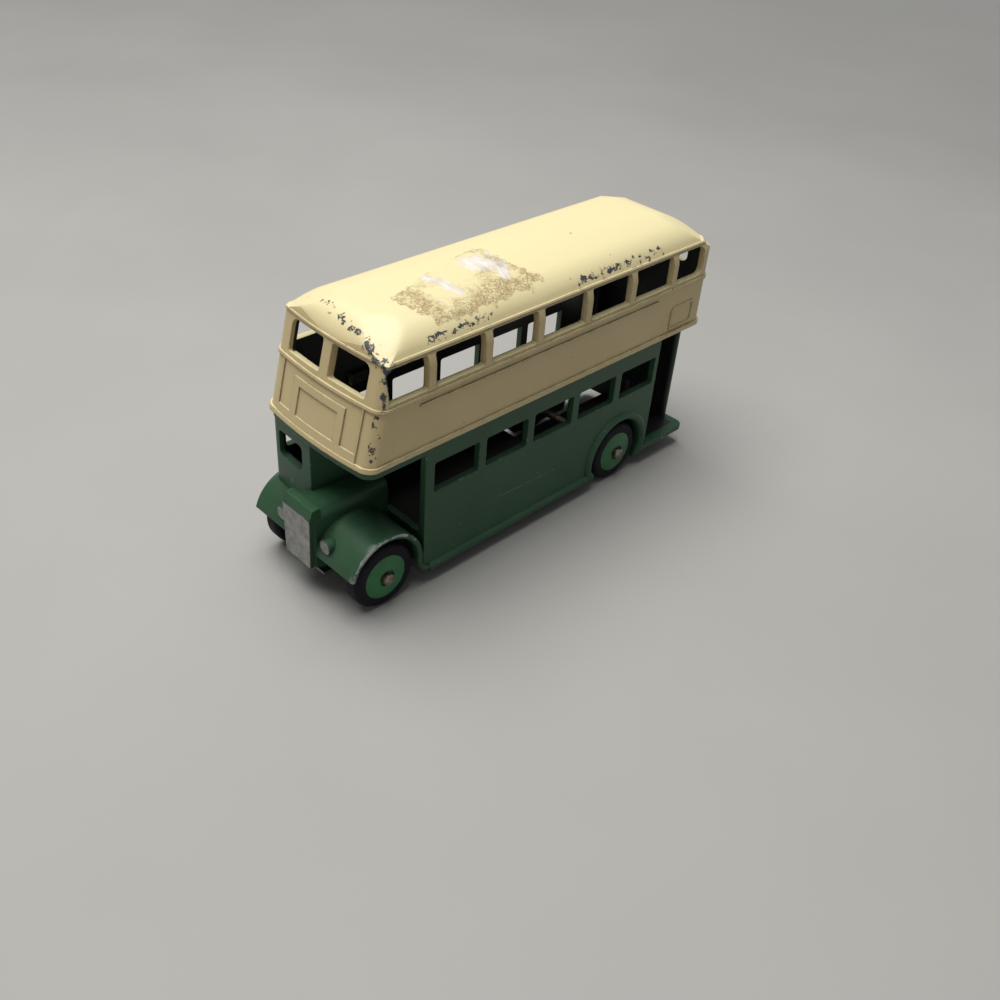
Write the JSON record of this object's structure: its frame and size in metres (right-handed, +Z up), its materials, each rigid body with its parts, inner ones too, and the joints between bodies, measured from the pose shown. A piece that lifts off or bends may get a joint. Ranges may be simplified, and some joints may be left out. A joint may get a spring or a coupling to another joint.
{
  "type": "toy bus",
  "caption": "Vintage die-cast double-deck toy bus, cream over dark green, with a half cab, open rear platform and rubber-tyred wheels that turn.",
  "frame": {"origin": "on the ground under the middle of the bus", "axes": "+X forward to the radiator, +Y to the left, the platform side, +Z up"},
  "size_m": [0.1014, 0.0328, 0.0573],
  "materials": {
    "cream_paint": "worn satin enamel over a zinc casting",
    "green_paint": "worn satin enamel over a zinc casting",
    "tinplate": "dull tinned sheet",
    "rivet_metal": "dull spun end",
    "axle_steel": "tarnished",
    "hub_paint": "worn satin enamel",
    "tyre_rubber": "smooth, dusty"
  },
  "bodies": {
    "body": {"upper_deck": "cream_paint", "lower_deck": "green_paint", "baseplate": "tinplate", "front_base_rivet": "rivet_metal", "rear_base_rivet": "rivet_metal"},
    "front_axle_body": {"front_axle": "axle_steel"},
    "rear_axle_body": {"rear_axle": "axle_steel"},
    "front_left_wheel": {"front_left_hub": "hub_paint", "front_left_tyre": "tyre_rubber"},
    "front_right_wheel": {"front_right_hub": "hub_paint", "front_right_tyre": "tyre_rubber"},
    "rear_left_wheel": {"rear_left_hub": "hub_paint", "rear_left_tyre": "tyre_rubber"},
    "rear_right_wheel": {"rear_right_hub": "hub_paint", "rear_right_tyre": "tyre_rubber"}
  },
  "joints": [
    {"name": "front_axle_turn", "type": "hinge", "parent": "body", "child": "front_axle_body", "pos_m": [0.04135, 0, 0.007], "axis": [0, 1, 0], "continuous": true},
    {"name": "rear_axle_turn", "type": "hinge", "parent": "body", "child": "rear_axle_body", "pos_m": [-0.02575, 0, 0.007], "axis": [0, 1, 0], "continuous": true},
    {"name": "front_left_spin", "type": "hinge", "parent": "front_axle_body", "child": "front_left_wheel", "pos_m": [0.04135, 0.0127, 0.007], "axis": [0, 1, 0], "continuous": true},
    {"name": "front_right_spin", "type": "hinge", "parent": "front_axle_body", "child": "front_right_wheel", "pos_m": [0.04135, -0.0127, 0.007], "axis": [0, 1, 0], "continuous": true},
    {"name": "rear_left_spin", "type": "hinge", "parent": "rear_axle_body", "child": "rear_left_wheel", "pos_m": [-0.02575, 0.0127, 0.007], "axis": [0, 1, 0], "continuous": true},
    {"name": "rear_right_spin", "type": "hinge", "parent": "rear_axle_body", "child": "rear_right_wheel", "pos_m": [-0.02575, -0.0127, 0.007], "axis": [0, 1, 0], "continuous": true}
  ]
}
